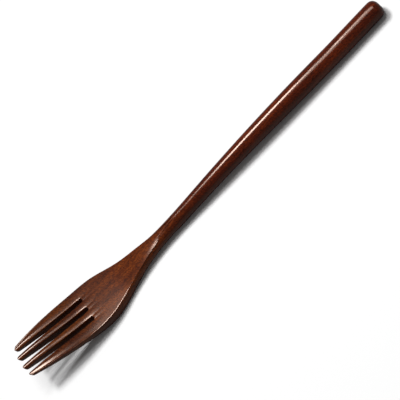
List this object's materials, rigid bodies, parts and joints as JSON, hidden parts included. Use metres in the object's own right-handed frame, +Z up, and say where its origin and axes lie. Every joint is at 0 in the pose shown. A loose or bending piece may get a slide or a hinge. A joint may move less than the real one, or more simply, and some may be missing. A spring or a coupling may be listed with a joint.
{
  "type": "wooden fork",
  "caption": "Fork carved from a single piece of hardwood, with slim tapering tines, a curved head, a narrow waist and a round handle.",
  "frame": {"origin": "on the table under the middle of the fork's length and width, as it lies face up", "axes": "+X from the tine tips to the butt of the handle, +Y to the left of someone looking along +X, +Z up, out of the hollow face"},
  "size_m": [0.23, 0.0266, 0.0152],
  "materials": {
    "lacquered_wood": "close-grained hardwood, carved and sanded, stained dark red-brown and sealed with a glossy clear lacquer"
  },
  "bodies": {
    "root": {"fork_body": "lacquered_wood"}
  },
  "joints": []
}
